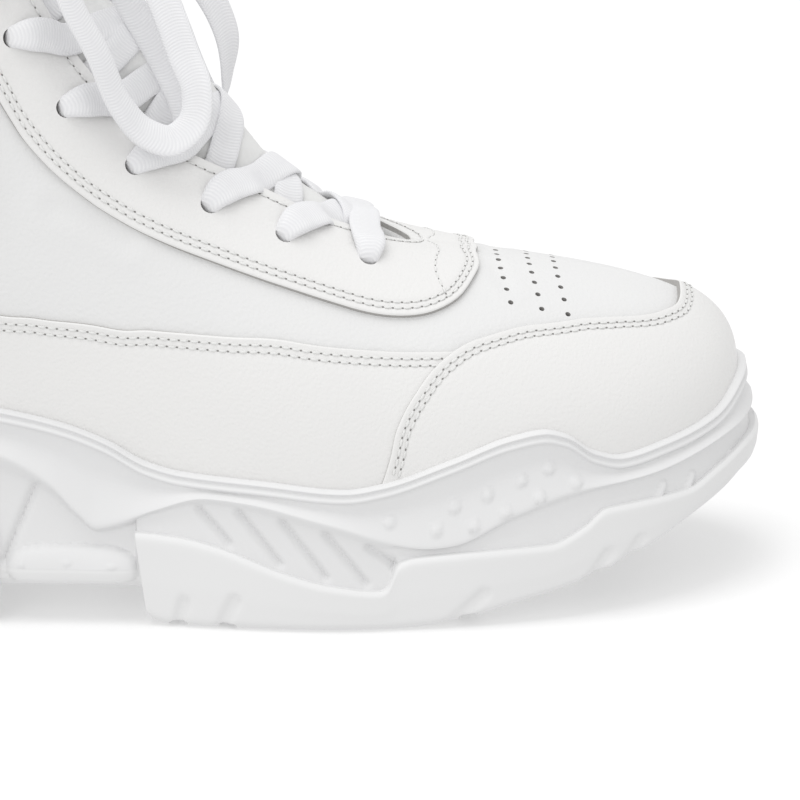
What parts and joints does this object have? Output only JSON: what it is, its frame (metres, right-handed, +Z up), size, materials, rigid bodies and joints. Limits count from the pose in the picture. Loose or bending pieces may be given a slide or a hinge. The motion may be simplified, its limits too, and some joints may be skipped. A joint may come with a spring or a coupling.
{
  "type": "platform sneaker",
  "caption": "High laced platform sneaker with a sculpted chunky sole, toe cap, side overlay, eyestay, padded tongue and bow.",
  "frame": {"origin": "on the floor plane, under the middle of the sole's box", "axes": "+X to the toe, -Y to the outer side, +Z up"},
  "size_m": [0.3, 0.109, 0.2065],
  "materials": {
    "outsole": "matte moulded white rubber",
    "midsole": "matte moulded white foam rubber",
    "upper_leather": "smooth white leather, satin",
    "tongue": "soft white padded leather, matte",
    "insole": "pale woven fabric, matte",
    "lace": "white flat woven cotton, matte"
  },
  "bodies": {
    "root": {"outsole": "outsole", "midsole": "midsole", "upper": "upper_leather", "toe_cap": "upper_leather", "side_overlay": "upper_leather", "eyestay": "upper_leather", "tongue": "tongue", "insole": "insole", "lace_bar": "lace", "lace_crossing_1": "lace", "lace_crossing_2": "lace", "lace_crossing_3": "lace", "lace_crossing_4": "lace", "lace_crossing_5": "lace", "lace_crossing_6": "lace", "lace_crossing_7": "lace", "bow_knot": "lace", "bow_loop_outer": "lace", "bow_loop_inner": "lace", "lace_end_outer": "lace", "lace_end_inner": "lace"}
  },
  "joints": []
}
